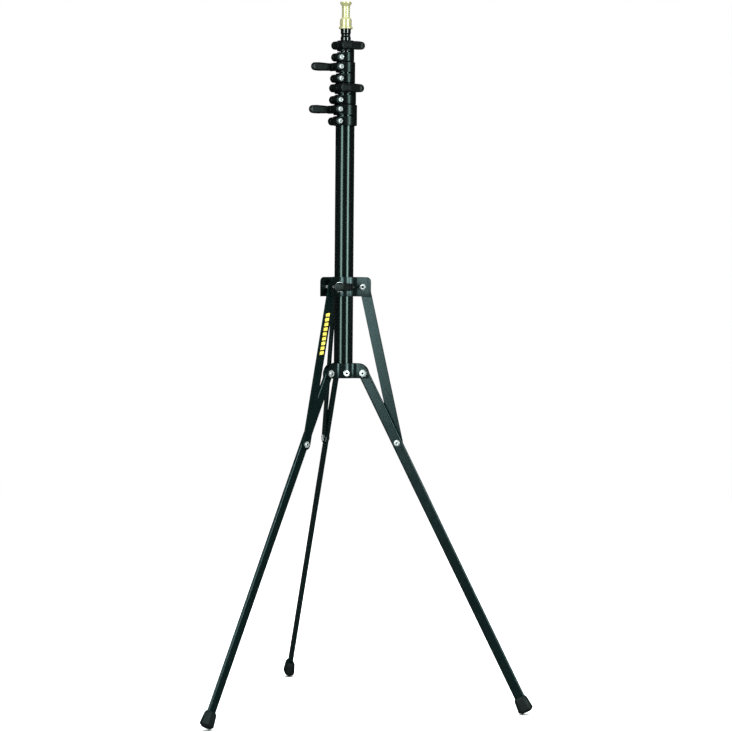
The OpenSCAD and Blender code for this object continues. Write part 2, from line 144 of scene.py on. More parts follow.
def skin(mesh, loops, closed=False):
    """Adds a solid through rings of equally many points to a bmesh."""
    rings = [[mesh.verts.new(point) for point in loop] for loop in loops]
    count = len(rings[0])
    pairs = list(zip(rings, rings[1:]))
    if closed:
        pairs.append((rings[-1], rings[0]))
    for low, high in pairs:
        for k in range(count):
            after = (k + 1) % count
            mesh.faces.new((low[k], low[after], high[after], high[k]))
    if not closed:
        mesh.faces.new(list(reversed(rings[0])))
        mesh.faces.new(rings[-1])
    return mesh


def lathe(mesh, profile, place, segments=56, closed=False):
    """Adds a turned solid about local Z. profile holds (radius, height) in millimetres."""
    rings = []
    for radius, height in profile:
        if radius < 1e-6:
            rings.append([mesh.verts.new(place @ Vector((0, 0, height * MM)))])
            continue
        rings.append([mesh.verts.new(place @ (Vector((
            radius * math.cos(2 * math.pi * k / segments),
            radius * math.sin(2 * math.pi * k / segments), height)) * MM))
            for k in range(segments)])
    pairs = list(zip(rings, rings[1:]))
    if closed:
        pairs.append((rings[-1], rings[0]))
    for low, high in pairs:
        for k in range(segments):
            after = (k + 1) % segments
            if len(low) == 1:
                mesh.faces.new((low[0], high[after], high[k]))
            elif len(high) == 1:
                mesh.faces.new((low[k], low[after], high[0]))
            else:
                mesh.faces.new((low[k], low[after], high[after], high[k]))
    return mesh


def prism(mesh, outline, low, high, bevel, place, steps=3):
    """Adds an outline in the local X-Z plane, in millimetres, from low to high along Y.

    Both rims are rounded by the bevel.
    """
    loops = []
    for step in range(steps + 1):
        angle = math.pi / 2 * step / steps
        loops.append((inset(outline, bevel * (1 - math.sin(angle))),
                      low + bevel * (1 - math.cos(angle))))
    for step in range(steps + 1):
        angle = math.pi / 2 * (1 - step / steps)
        loops.append((inset(outline, bevel * (1 - math.sin(angle))),
                      high - bevel * (1 - math.cos(angle))))
    return skin(mesh, [[place @ (Vector((p.x, depth, p.y)) * MM) for p in points]
                       for points, depth in loops])


def as_object(name, mesh):
    bmesh.ops.recalc_face_normals(mesh, faces=mesh.faces)
    data = bpy.data.meshes.new(name)
    mesh.to_mesh(data)
    mesh.free()
    made = bpy.data.objects.new(name, data)
    bpy.context.scene.collection.objects.link(made)
    return made


def finish(made, material, body, replaced=(), sharp=12):
    """Shades a piece, gives it its material and joins it to its CAD body."""
    data = made.data
    data.polygons.foreach_set("use_smooth", [True] * len(data.polygons))
    data.set_sharp_from_angle(angle=math.radians(sharp))
    data.materials.clear()
    data.materials.append(material)
    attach(made, body)
    if replaced:
        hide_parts(*replaced)
    return made


def apply_modifiers(made):
    """Turns an object's modifiers into its mesh."""
    bpy.context.view_layer.update()
    graph = bpy.context.evaluated_depsgraph_get()
    data = bpy.data.meshes.new_from_object(made.evaluated_get(graph))
    made.modifiers.clear()
    made.data = data
    return made


def boolean(made, other, operation):
    """Joins or cuts made with other, and removes other."""
    modifier = made.modifiers.new("boolean", "BOOLEAN")
    modifier.operation = operation
    modifier.solver = "EXACT"
    modifier.object = other
    apply_modifiers(made)
    bpy.data.objects.remove(other)
    return made


# ---------------------------------------------------------------- materials
def surface(name, colour, second, roughness, spread, metallic=0.0, specular=0.5,
            patch=9.0, grain=1400.0, bump=0.05, tint=(1, 1, 1),
            stretch=(1, 1, 1), speckle=None, speckle_amount=0.0):
    """Procedural finish: colour drift, roughness drift, fine grain bump and optional specks."""
    made = bpy.data.materials.new(name)
    made.use_nodes = True
    nodes, links = made.node_tree.nodes, made.node_tree.links
    shader = nodes["Principled BSDF"]
    shader.inputs["Metallic"].default_value = metallic
    shader.inputs["Specular IOR Level"].default_value = specular
    shader.inputs["Specular Tint"].default_value = (*tint, 1)
    place = nodes.new("ShaderNodeTexCoord")
    mapping = nodes.new("ShaderNodeMapping")
    mapping.inputs["Scale"].default_value = stretch
    links.new(place.outputs["Object"], mapping.inputs["Vector"])

    def noise(scale, detail, source):
        node = nodes.new("ShaderNodeTexNoise")
        node.inputs["Scale"].default_value = scale
        node.inputs["Detail"].default_value = detail
        links.new(source, node.inputs["Vector"])
        return node.outputs["Fac"]

    def remap(value, low, high, start=0.3, end=0.7):
        node = nodes.new("ShaderNodeMapRange")
        node.inputs["From Min"].default_value = start
        node.inputs["From Max"].default_value = end
        node.inputs["To Min"].default_value = low
        node.inputs["To Max"].default_value = high
        links.new(value, node.inputs["Value"])
        return node.outputs["Result"]

    drift = noise(patch, 4.0, place.outputs["Object"])
    fine = noise(grain, 3.0, mapping.outputs["Vector"])
    smudge = noise(patch * 7, 6.0, mapping.outputs["Vector"])
    mix = nodes.new("ShaderNodeMix")
    mix.data_type = "RGBA"
    mix.inputs["A"].default_value = (*colour, 1)
    mix.inputs["B"].default_value = (*second, 1)
    links.new(remap(drift, 0, 1), mix.inputs["Factor"])
    result = mix.outputs["Result"]
    if speckle:
        specks = nodes.new("ShaderNodeMix")
        specks.data_type = "RGBA"
        specks.inputs["B"].default_value = (*speckle, 1)
        links.new(result, specks.inputs["A"])
        links.new(remap(fine, 0, speckle_amount, 0.62, 0.8), specks.inputs["Factor"])
        result = specks.outputs["Result"]
    links.new(result, shader.inputs["Base Color"])
    links.new(remap(smudge, roughness - spread, roughness + spread), shader.inputs["Roughness"])
    relief = nodes.new("ShaderNodeBump")
    relief.inputs["Strength"].default_value = bump
    relief.inputs["Distance"].default_value = 0.0004
    links.new(fine, relief.inputs["Height"])
    links.new(relief.outputs["Normal"], shader.inputs["Normal"])
    return made


TEAL = (0.74, 1.0, 0.94)
TUBE = surface("black_tube", (0.0012, 0.0022, 0.0021), (0.0020, 0.0036, 0.0034), 0.17, 0.03,
               specular=0.55, bump=0.012, grain=900, stretch=(1, 1, 0.15), tint=TEAL)
GLOSS_TUBE = surface("gloss_tube", (0.0012, 0.0016, 0.0016), (0.002, 0.0026, 0.0026), 0.10, 0.03,
                     specular=0.9, bump=0.02, grain=900, stretch=(1, 1, 0.12))
LEG = surface("leg_paint", (0.0010, 0.0044, 0.0039), (0.0016, 0.0062, 0.0056), 0.25, 0.04,
              specular=0.5, bump=0.05, grain=1500, speckle=(0.0065, 0.013, 0.0117),
              speckle_amount=0.4, tint=(0.70, 0.94, 1.0))
PLATE = surface("plate_paint", (0.0014, 0.0034, 0.0032), (0.0022, 0.0052, 0.0048), 0.24, 0.04,
                specular=0.5, bump=0.05, grain=1700, patch=25, tint=(0.72, 0.98, 1.0))
MOULDED = surface("moulded_black", (0.0013, 0.0020, 0.0019), (0.0024, 0.0034, 0.0032), 0.27, 0.05,
                  specular=0.3, bump=0.08, grain=2100, patch=40, tint=TEAL)
LEVER = surface("lever_plastic", (0.0014, 0.0018, 0.0018), (0.0026, 0.0032, 0.0031), 0.36, 0.06,
                specular=0.3, bump=0.12, grain=2600, patch=60, tint=(0.85, 1.0, 0.97))
RUBBER = surface("rubber", (0.0018, 0.0043, 0.0040), (0.0029, 0.0068, 0.0063), 0.55, 0.07,
                 specular=0.3, bump=0.28, grain=2200, patch=45,
                 speckle=(0.0063, 0.0117, 0.0113), speckle_amount=0.5)
STEEL = surface("plated_steel", (0.74, 0.77, 0.77), (0.58, 0.62, 0.62), 0.27, 0.06, metallic=0.75,
                bump=0.05, grain=2400, patch=120)
DARK_STEEL = surface("black_steel", (0.020, 0.022, 0.022), (0.045, 0.047, 0.046), 0.34, 0.06,
                     metallic=0.6, bump=0.08, grain=2600, patch=120)
NYLON = surface("nylon", (0.010, 0.011, 0.011), (0.016, 0.017, 0.017), 0.5, 0.06, specular=0.4,
                bump=0.15, grain=1800, patch=60)
BRASS = surface("brass", (0.62, 0.60, 0.32), (0.54, 0.51, 0.25), 0.28, 0.05, metallic=0.6,
                bump=0.015, grain=700, patch=90)
YELLOW = surface("yellow_print", (0.66, 0.50, 0.06), (0.80, 0.64, 0.12), 0.5, 0.06, bump=0.12,
                 grain=1800, patch=150, speckle=(0.25, 0.18, 0.03), speckle_amount=0.5)

CARRIED = {
    "base_tube": TUBE, "base_plug": NYLON, "lock_stud": STEEL,
    **{f"leg_{i}": LEG for i in LEGS},
    **{f"mid_washer_{i}": STEEL for i in LEGS},
    **{f"riser_{i}": TUBE for i in (1, 2, 3)},
    **{f"riser_bush_{i}": NYLON for i in CLAMPS},
    **{f"clamp_nuts_{i}": DARK_STEEL for i in CLAMPS},
    **{f"clamp_screw_{i}": STEEL for i in CLAMPS},
}
for node, material in CARRIED.items():
    for slot in frame["nodes"][node].material_slots:
        slot.material = material

# ---------------------------------------------------------------- shared sizes, millimetres
SLIDE = joint_point("lock_lever_turn").z
PIVOT = joint_point("leg_1_fold")
PIVOT_RADIUS = Vector((PIVOT.x, PIVOT.y)).length / MM
LOCK = math.atan2(joint_axis("lock_lever_turn").y, joint_axis("lock_lever_turn").x)
TUBE_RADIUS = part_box("base_tube")[1].x / MM
PLATE_THICKNESS = 2.0
LEG_LENGTH = 512
BRACE_LENGTH = 218.4
BRACE_HALF_WIDTH = 7.25
BRACE_FACES = (2.9, 5.1)
BRACE_PIVOT_RADIUS = 28.4
HEAD_RADIUS = 4.3
HEAD_HEIGHT = 1.8


# ---------------------------------------------------------------- collar plates
def plate_path(inner, near, far, near_reach, far_reach, bend):
    """Middle line of a pressed plate.

    It runs along lug i's near wall, a bend, the tube, a bend and the next lug's far wall.
    """
    middle = inner + PLATE_THICKNESS / 2

    def wall_side(offset, reach):
        """Points of a wall at +offset from its lug's plane, from its end to the tube."""
        line = offset + PLATE_THICKNESS / 2
        centre = Vector((math.sqrt((middle + bend) ** 2 - (line + bend) ** 2), line + bend))
        contact = math.atan2(centre.y, centre.x)
        points = [Vector((reach, line))]
        for step in range(15):
            angle = -math.pi / 2 - (math.pi / 2 - contact) * step / 14
            points.append(centre + bend * Vector((math.cos(angle), math.sin(angle))))
        return points, contact

    start, low = wall_side(near, near_reach)
    end, high = wall_side(far, far_reach)
    arc = 24
    for step in range(1, arc):
        angle = low + (TURN - low - high) * step / arc
        start.append(middle * Vector((math.cos(angle), math.sin(angle))))
    turn = Matrix.Rotation(TURN, 2)
    return start + [turn @ Vector((p.x, -p.y)) for p in reversed(end)]


def plate(mesh, place, path, height, rounding, edge=0.5):
    """Adds a sheet swept along the path, its two upper end corners rounded."""
    lengths = [0.0]
    for a, b in zip(path, path[1:]):
        lengths.append(lengths[-1] + (b - a).length)
    total = lengths[-1]

    def at(distance):
        for k in range(len(path) - 1):
            if distance <= lengths[k + 1] or k == len(path) - 2:
                part = (distance - lengths[k]) / (lengths[k + 1] - lengths[k])
                return path[k].lerp(path[k + 1], part), (path[k + 1] - path[k]).normalized()

    turns = 9
    stations = []
    for end in (0, 1):
        for step in range(turns + 1):
            angle = math.pi / 2 * step / turns
            run = rounding * (1 - math.cos(angle))
            top = height - rounding * (1 - math.sin(angle))
            stations.append((total - run if end else run, top))
    stations += [(d, height) for d in lengths if rounding + 0.2 < d < total - rounding - 0.2]
    stations.sort()
    half = PLATE_THICKNESS / 2
    loops = []
    for index, (distance, top) in enumerate(stations):
        point, along = at(distance)
        side = Vector((-along.y, along.x))
        shrink = edge if index in (0, len(stations) - 1) else 0
        outline = rounded([(-half + shrink, shrink), (half - shrink, shrink),
                           (half - shrink, top - shrink), (-half + shrink, top - shrink)],
                          edge, steps=3, closed=True)
        loops.append([place @ (Vector((point.x + side.x * p.x, point.y + side.y * p.x, p.y)) * MM)
                      for p in outline])
        if index == 0:
            loops.append([place @ (Vector((point.x + along.x * edge + side.x * p.x,
                                           point.y + along.y * edge + side.y * p.x, p.y)) * MM)
                          for p in rounded([(-half, 0), (half, 0), (half, top + 0.7),
                                            (-half, top + 0.7)], edge, steps=3, closed=True)])
    return skin(mesh, loops)


LOWER = dict(inner=TUBE_RADIUS, near=2.6, far=2.6, near_reach=36, far_reach=36, bend=10.5)
UPPER = dict(inner=TUBE_RADIUS + 0.35, near=5.5, far=5.4, near_reach=33.5, far_reach=39.5,
             bend=18)
LOWER_HEIGHT = 20.5
UPPER_HEIGHT = 26.5
LOWER_CORNER = 15
UPPER_CORNER = 6
SCREW_HEIGHT = 7
LOCK_END = 30
lower_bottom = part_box("lower_collar_plate_1")[0].z
upper_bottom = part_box("upper_collar_plate_1")[0].z

for i in LEGS:
    mesh = bmesh.new()
    plate(mesh, lug_frame(i, lower_bottom), plate_path(**LOWER), LOWER_HEIGHT, LOWER_CORNER)
    finish(as_object(f"lower_plate_{i}", mesh), PLATE, "column", [f"lower_collar_plate_{i}"])
    mesh = bmesh.new()
    plate(mesh, lug_frame(i, upper_bottom), plate_path(**UPPER), UPPER_HEIGHT, UPPER_CORNER)
    if i == 3:
        lathe(mesh, rounded([(2.55, TUBE_RADIUS + 1), (4.6, TUBE_RADIUS + 1), (4.6, LOCK_END),
                             (2.55, LOCK_END)], 0.35, steps=3, closed=True),
              outward_frame(LOCK, Vector((0, 0, SLIDE))), closed=True)
    finish(as_object(f"sliding_plate_{i}", mesh), PLATE, "sliding_collar",
           [f"upper_collar_plate_{i}"])


# ---------------------------------------------------------------- rivets, bolts, washers, screws
def head_profile(radius, height, at, way):
    """Domed head with a deep hollow, from its rim on the face at a height to its middle."""
    shape = [(1.0, 0.0), (1.0, 0.34), (0.97, 0.6), (0.88, 0.82), (0.74, 0.95), (0.58, 1.0),
             (0.42, 0.98), (0.37, 0.8), (0.36, -0.9), (0.0, -0.9)]
    return [(radius * r, at + way * height * h) for r, h in shape]


def pin(mesh, place, shaft, low, high, low_head=True, high_head=True, radius=HEAD_RADIUS,
        height=HEAD_HEIGHT):
    """Adds a rivet or bolt along local Z from low to high, with domed heads beyond them."""
    ends = []
    for at, way, headed in ((low, -1, low_head), (high, 1, high_head)):
        if headed:
            ends.append(list(reversed(head_profile(radius, height, at, way))) + [(shaft, at)])
        else:
            ends.append([(0, at), (shaft - 0.3, at), (shaft, at - way * 0.3)])
    return lathe(mesh, ends[0] + list(reversed(ends[1])), place, segments=40)


def across(place, x, z):
    """Frame with Z along the lug's tangent, at x and z millimetres in it."""
    origin = place @ (Vector((x, 0, z)) * MM)
    turned = place.to_3x3()
    return axes(origin, turned.col[2], turned.col[0], turned.col[1])


def ring(mesh, place, inner, outer, low, high, edge=0.2):
    return lathe(mesh, rounded([(inner, low), (outer, low), (outer, high), (inner, high)], edge,
                               steps=3, closed=True), place, segments=48, closed=True)


mesh = bmesh.new()
washers = bmesh.new()
for i in LEGS:
    hole = across(lug_frame(i, PIVOT.z), PIVOT_RADIUS, 0)
    pin(mesh, hole, 2.5, -5.3, 5.3)
    for low in (-5.2, 4.6):
        ring(washers, hole, 2.55, 4.9, low, low + 0.6)
finish(as_object("leg_rivets", mesh), STEEL, "column", ["leg_pivot_rivets"])
finish(as_object("leg_washers", washers), STEEL, "column", ["leg_pivot_washers"])

mesh = bmesh.new()
for i in LEGS:
    hole = across(lug_frame(i, SLIDE), BRACE_PIVOT_RADIUS, 0)
    pin(mesh, hole, 2.0, -7.4, 2.6, high_head=False)
    pin(mesh, hole, 2.0, 5.4, 7.7, low_head=False, high_head=False)
finish(as_object("brace_bolts", mesh), STEEL, "sliding_collar", ["upper_pivot_bolts"])

mesh = bmesh.new()
middle_height = lower_bottom + SCREW_HEIGHT * MM
for i in LEGS:
    radial = lug_frame(i).to_3x3().col[0]
    azimuth = math.atan2(radial.y, radial.x) + TURN / 2
    hole = outward_frame(azimuth, Vector((0, 0, middle_height)))
    face = TUBE_RADIUS + PLATE_THICKNESS + 0.1
    lathe(mesh, [(0, TUBE_RADIUS - 1.5), (1.7, TUBE_RADIUS - 1.5), (2, TUBE_RADIUS - 1.2),
                 (2, face), (4.5, face), (4.5, face + 0.7), (4.3, face + 1.1),
                 (3.9, face + 1.4), (3.3, face + 1.6), (1.95, face + 1.6), (1.75, face + 1.5),
                 (1.5, face - 1.2), (0, face - 1.2)], hole, segments=40)
finish(as_object("collar_screws", mesh), STEEL, "column", ["lower_collar_screws"])

mesh = bmesh.new()
lock_place = outward_frame(LOCK, Vector((0, 0, SLIDE)))
ring(mesh, lock_place, 2.55, 7.0, LOCK_END, LOCK_END + 1.5, 0.5)
finish(as_object("lock_ring", mesh), STEEL, "sliding_collar", ["lock_washer"])

for i in LEGS:
    tangent = -joint_axis(f"leg_{i}_fold")
    hole = along_frame(joint_point(f"brace_{i}_fold"), UP, tangent)
    mesh = bmesh.new()
    pin(mesh, hole, 2.5, -2.2, 5.2)
    finish(as_object(f"brace_rivet_{i}", mesh), STEEL, f"leg_{i}", [f"mid_rivet_{i}"])


# ---------------------------------------------------------------- braces
brace_frames = {}
for i in LEGS:
    tangent = -joint_axis(f"leg_{i}_fold")
    low = joint_point(f"brace_{i}_fold")
    radial = tangent.cross(UP)
    high = radial * BRACE_PIVOT_RADIUS * MM + UP * SLIDE
    place = along_frame(low, tangent, (high - low).normalized())
    brace_frames[i] = place
    outline = [Vector((p.y, p.x + BRACE_LENGTH / 2)) for p in
               stadium(BRACE_LENGTH / 2 + BRACE_HALF_WIDTH, BRACE_HALF_WIDTH, 16)]
    outline.reverse()
    mesh = bmesh.new()
    prism(mesh, outline, *BRACE_FACES, 0.45, place)
    finish(as_object(f"brace_strap_{i}", mesh), LEG, f"brace_{i}", [f"brace_{i}"])

# Plain printed bars on the left brace's outer face.
BARS = 9
BAR_FROM_END = 39
BAR_PITCH = 6.6
BAR_FACES = (5.11, 5.18)
mesh = bmesh.new()
for k in range(BARS):
    middle = BRACE_LENGTH - BAR_FROM_END - BAR_PITCH * k
    bar = [Vector((-3.6, middle - 1.2)), Vector((3.6, middle - 3.4)), Vector((3.6, middle + 1.2)),
           Vector((-3.6, middle + 3.4))]
    prism(mesh, rounded(bar, 0.6, 3, True), *BAR_FACES, 0.01, brace_frames[3], 1)
finish(as_object("brace_bars", mesh), YELLOW, "brace_3", ())


# ---------------------------------------------------------------- rubber feet
BOOT = rounded([(6.6, 0.0), (11.0, 3.0), (9.5, 19.0), (7.9, 22.0)], [0, 3.0, 2.2, 0], 6)
BOOT_DEPTH = [Vector((max(4.4, p.x - 3.5 + 0.2 * p.y / 22), p.y)) for p in BOOT]
for i in LEGS:
    tangent = -joint_axis(f"leg_{i}_fold")
    pivot, knee = joint_point(f"leg_{i}_fold"), joint_point(f"brace_{i}_fold")
    up_leg = (pivot - knee).normalized()
    sole = pivot - up_leg * (LEG_LENGTH / 1000)
    place = along_frame(sole, tangent, up_leg)
    mesh = bmesh.new()
    sections = [(p.x, q.x, p.y) for p, q in zip(BOOT, BOOT_DEPTH)]
    sections = [(6.0, 3.9, 0.25)] + sections
    sections += [(7.62, 2.45, 22.0), (7.42, 2.25, 21.7), (7.42, 2.25, 14.0)]
    skin(mesh, [[place @ (Vector((p.x, p.y, height)) * MM)
                 for p in stadium(length, width, 16)] for length, width, height in sections])
    finish(as_object(f"boot_{i}", mesh), RUBBER, f"leg_{i}", [f"foot_{i}"], sharp=50)


# ---------------------------------------------------------------- clamps
EAR_RADIUS = 5.65
LOWER_EAR = 5.7
UPPER_EAR = 21.8
EAR_BACK = 8.0
FRONT_INSET = 2.9
SPLIT = 1.0
SLIT = (12.9, 14.5)
SLIT_MOUTH = 0.5
CLAMP_WALL = 3.3
EAR_REACH = 1.45
# The drawn ring is this much slimmer than the CAD ring. Its bore and ear faces stay in place.
RING_TRIM = 1.1
HEAD = 3.4
NUT_POCKET = 4.0
HUB_POCKET = 5.9
# Clamps are built in millimetres about the origin and then set in place.
LOCAL = Matrix.Scale(1 / MM, 4)


def clamp_frame(i):
    front = joint_axis(f"clamp_lever_{i}_turn")
    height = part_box(f"clamp_{i}")[0].z
    return axes(Vector((0, 0, height)), front.cross(UP), front, UP)


def block(low, high):
    """Plain cutting box, millimetres."""
    mesh = bmesh.new()
    corners = [[Vector((x, y, z)) for x, y in
                ((low[0], low[1]), (high[0], low[1]), (high[0], high[1]), (low[0], high[1]))]
               for z in (low[2], high[2])]
    return as_object("cutter", skin(mesh, corners))


def rod(radius, low, high, x, z, segments=48):
    """Plain cutting rod along Y, millimetres."""
    mesh = bmesh.new()
    lathe(mesh, [(0, low), (radius, low), (radius, high), (0, high)], across(LOCAL, x, z),
          segments)
    return as_object("cutter", mesh)


def slit_cutter(outer):
    """Groove with a flared mouth round the clamp's open side."""
    low, high = SLIT
    profile = [(outer - 9, low), (outer - 0.6, low), (outer + 0.4, low - SLIT_MOUTH),
               (3 * outer, low - SLIT_MOUTH), (3 * outer, high + SLIT_MOUTH),
               (outer + 0.4, high + SLIT_MOUTH), (outer - 0.6, high), (outer - 9, high)]
    loops = []
    for step in range(61):
        angle = math.radians(110) * (step / 30 - 1)
        loops.append([Vector((radius * math.cos(angle), radius * math.sin(angle), height))
                      for radius, height in profile])
    return as_object("cutter", skin(bmesh.new(), loops))


def socket_screw(mesh, hole, end, face):
    """Adds a bolt with a rounded socket head standing on a face."""
    return lathe(mesh, rounded([(0, end), (2, end), (2, face), (HEAD, face), (HEAD, face + 3),
                                (1.8, face + 3), (1.6, face + 2.7), (1.6, face + 1.6),
                                (0, face + 1.6)], [0, 0.3, 0, 0.1, 1.3, 0.2, 0, 0, 0], 5),
                 hole, 40)


clamp_sizes = {}
for i in CLAMPS:
    place = clamp_frame(i)
    low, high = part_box(f"clamp_{i}")
    # The ears stay on the left, so the clamp's right edge is its round body.
    outer = high.x / MM - RING_TRIM
    tall = (high.z - low.z) / MM
    bore_low = outer - CLAMP_WALL + 0.05
    bore_high = bore_low - 1.5
    screw = outer + EAR_REACH
    face = outer - FRONT_INSET
    behind = i % 2 == 1
    clamp_sizes[i] = (face, screw, behind)
    mesh = bmesh.new()
    lathe(mesh, rounded([(bore_high - 1, 0), (outer - 0.8, 0), (outer, 0.8), (outer, tall - 0.8),
                         (outer - 0.8, tall), (bore_high - 1, tall)], [0, 0.4, 0.4, 0.4, 0.4, 0],
                        3, True), LOCAL, 144, closed=True)
    made = as_object(f"clamp_ring_{i}", mesh)
    for height in (LOWER_EAR, UPPER_EAR):
        outline = [Vector((bore_low - 1, height - EAR_RADIUS))]
        for step in range(19):
            angle = math.pi * (step / 18 - 0.5)
            outline.append(Vector((screw + EAR_RADIUS * math.cos(angle),
                                   height + EAR_RADIUS * math.sin(angle))))
        outline.append(Vector((bore_low - 1, height + EAR_RADIUS)))
        for near, far in ((-EAR_BACK, -SPLIT), (SPLIT, face)):
            mesh = prism(bmesh.new(), outline, near, far, 0.8, LOCAL, 4)
            boolean(made, as_object("ear", mesh), "UNION")
    half_way = (SLIT[0] + SLIT[1]) / 2
    cutter = bmesh.new()
    lathe(cutter, [(0, -1), (bore_low, -1), (bore_low, half_way), (bore_high, half_way),
                   (bore_high, tall + 1), (0, tall + 1)], LOCAL, 144)
    boolean(made, as_object("cutter", cutter), "DIFFERENCE")
    boolean(made, block((0.1, -SPLIT, -1), (2 * outer, SPLIT, tall + 1)), "DIFFERENCE")
    boolean(made, slit_cutter(outer), "DIFFERENCE")
    boolean(made, rod(NUT_POCKET, -30, -EAR_BACK - 0.01, screw, LOWER_EAR), "DIFFERENCE")
    pocket = HUB_POCKET if behind else NUT_POCKET
    boolean(made, rod(pocket, -30, -EAR_BACK - 0.01, screw, UPPER_EAR), "DIFFERENCE")
    if not behind:
        boolean(made, rod(HUB_POCKET, face + 0.01, 30, screw, UPPER_EAR), "DIFFERENCE")
    made.data.transform(place @ Matrix.Scale(MM, 4))
    body = "column" if i == 1 else f"riser_{i - 1}"
    finish(made, MOULDED, body, [f"clamp_{i}"])

    mesh = bmesh.new()
    socket_screw(mesh, across(place, screw, LOWER_EAR), -EAR_BACK - 3.5, face)
    finish(as_object(f"pinch_screw_{i}", mesh), STEEL, body, [f"pinch_bolt_{i}"],
           sharp=30)
    if behind:
        mesh = bmesh.new()
        socket_screw(mesh, across(place, screw, UPPER_EAR), -EAR_BACK - 3.6, face)
        finish(as_object(f"lever_screw_{i}", mesh), STEEL, f"clamp_lever_{i}",
               [f"clamp_screw_{i}"], sharp=30)


# ---------------------------------------------------------------- levers
def lever(name, place, length, hub, hub_back, arm_back, front, tip, shoulder, facet):
    """Moulded lever: arm along local X with a sunk thumb facet, hub along local Y.

    facet holds its tilt in radians and its start and end as shares of the length.
    """
    mesh = bmesh.new()
    widest = 0.62
    stations = 40
    points = 40
    thick = front - arm_back
    tilt, start, end = facet
    loops = []
    for k in range(stations + 1):
        t = math.sin(math.pi / 2 * k / stations)
        x = -hub * 0.55 + (length + hub * 0.55) * t
        share = max(0.0, x / length)
        if share < widest:
            half = hub - 0.6 + (shoulder - hub + 0.6) * share / widest
        else:
            half = shoulder + (tip - shoulder) * ((share - widest) / (1 - widest)) ** 1.6
        over = max(0.0, (x - (length - tip)) / tip)
        round_off = math.sqrt(max(0.0, 1 - over * over))
        half *= max(round_off, 0.03)
        deep = thick / 2 * max(round_off ** 0.6, 0.05)
        middle = arm_back + thick / 2
        sunk = front - 0.15 - math.tan(tilt) * (x - start * length)
        loop = []
        for n in range(points):
            angle = 2 * math.pi * n / points
            c, s = math.cos(angle), math.sin(angle)
            z = half * math.copysign(abs(c) ** 0.62, c)
            y = middle + deep * math.copysign(abs(s) ** 0.62, s)
            if start * length < x < end * length:
                y = min(y, sunk)
            elif x >= end * length:
                y = min(y, sunk + 3.0 * min(1.0, (x - end * length) / (0.06 * length)))
            loop.append(place @ (Vector((x, y, z)) * MM))
        loops.append(loop)
    skin(mesh, loops)
    arm = as_object(name, mesh)
    hub_mesh = bmesh.new()
    lathe(hub_mesh, rounded([(0, hub_back), (hub, hub_back), (hub, front - 0.1), (0, front - 0.1)],
                            [0, 0.4, 1.3, 0], 4), across(place, 0, 0), 48)
    return boolean(arm, as_object("hub", hub_mesh), "UNION")


def lever_place(origin, along, away):
    """X along the arm and Y away from the face the lever sits on."""
    return axes(origin, along, away, along.cross(away))


ARM_THICKNESS = 6.0
HUB_GAP = 0.3
BEHIND_STAND = 0.6
FRONT_STAND = 4.6
CLAMP_LEVER = dict(length=33.3, hub=5.6, tip=4.9, shoulder=5.9,
                   facet=(math.radians(6.0), 0.34, 0.80))
LOCK_LEVER = dict(length=22.0, hub=6.2, tip=3.6, shoulder=5.3,
                  facet=(math.radians(8.0), 0.36, 0.82))

for i in CLAMPS:
    face, screw, behind = clamp_sizes[i]
    front = joint_axis(f"clamp_lever_{i}_turn")
    outward = front.cross(UP)
    seat, stand = (EAR_BACK, BEHIND_STAND) if behind else (face, FRONT_STAND)
    turned = (outward, -front) if behind else (-outward, front)
    place = lever_place(Vector((0, 0, 0)), *turned)
    made = lever(f"lever_{i}", LOCAL, hub_back=seat + HUB_GAP, arm_back=seat + stand,
                 front=seat + stand + ARM_THICKNESS, **CLAMP_LEVER)
    made.data.transform(Matrix.Translation(joint_point(f"clamp_lever_{i}_turn")) @ place
                        @ Matrix.Scale(MM, 4))
    finish(made, LEVER, f"clamp_lever_{i}", [f"clamp_lever_{i}"], sharp=28)

radial = joint_axis("lock_lever_turn")
place = lever_place(Vector((0, 0, SLIDE)), UP.cross(radial), radial)
lock_foot = LOCK_END + 1.6
made = lever("lock_handle", LOCAL, hub_back=lock_foot, arm_back=lock_foot + 2.4,
             front=lock_foot + 8.0, **LOCK_LEVER)
made.data.transform(place @ Matrix.Scale(MM, 4))
finish(made, LEVER, "lock_lever", ["lock_lever"], sharp=28)

# ---------------------------------------------------------------- top riser and spigot
riser_low, riser_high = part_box("riser_4")
seat = riser_high.z / MM
foot = riser_low.z / MM
radius = riser_high.x / MM
crimp = seat - 8.6
outside = [(radius, foot + 0.2), (radius, crimp - 3.0), (radius - 0.8, crimp - 0.6),
           (radius - 0.8, crimp + 0.6), (radius, crimp + 3.0), (radius, seat)]
inside = [(radius - 1, seat), (radius - 1, crimp + 3.0), (radius - 1.8, crimp + 0.6),
          (radius - 1.8, crimp - 0.6), (radius - 1, crimp - 3.0), (radius - 1, foot + 0.2)]
mesh = bmesh.new()
lathe(mesh, rounded(outside, [0, 2.0, 1.0, 1.0, 2.0, 0], 5) +
      rounded(inside, [0, 2.0, 1.0, 1.0, 2.0, 0], 5), Matrix.Identity(4), 72, closed=True)
finish(as_object("top_riser", mesh), GLOSS_TUBE, "riser_4", ["riser_4"], sharp=30)

mesh = bmesh.new()
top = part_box("spigot")[1].z / MM
SPIGOT_HEIGHT = 36.8
base = top - SPIGOT_HEIGHT
profile = [(0, -20), (5.1, -20), (5.1, 0), (9.5, 0), (9.5, 2.8), (8.0, 2.8), (8.0, 13.0),
           (5.5, 15.6), (5.5, 30.6), (8.0, 35.2), (8.0, SPIGOT_HEIGHT),
           (0, SPIGOT_HEIGHT)]
sizes = [0, 0.5, 0.1, 0.8, 0.8, 0.4, 0.5, 0.8, 1.0, 0.5, 0.5, 0]
lathe(mesh, [(p.x, base + p.y) for p in rounded(profile, sizes, 4)], Matrix.Identity(4), 80)
finish(as_object("spigot_turned", mesh), BRASS, "riser_4", ["spigot"], sharp=32)


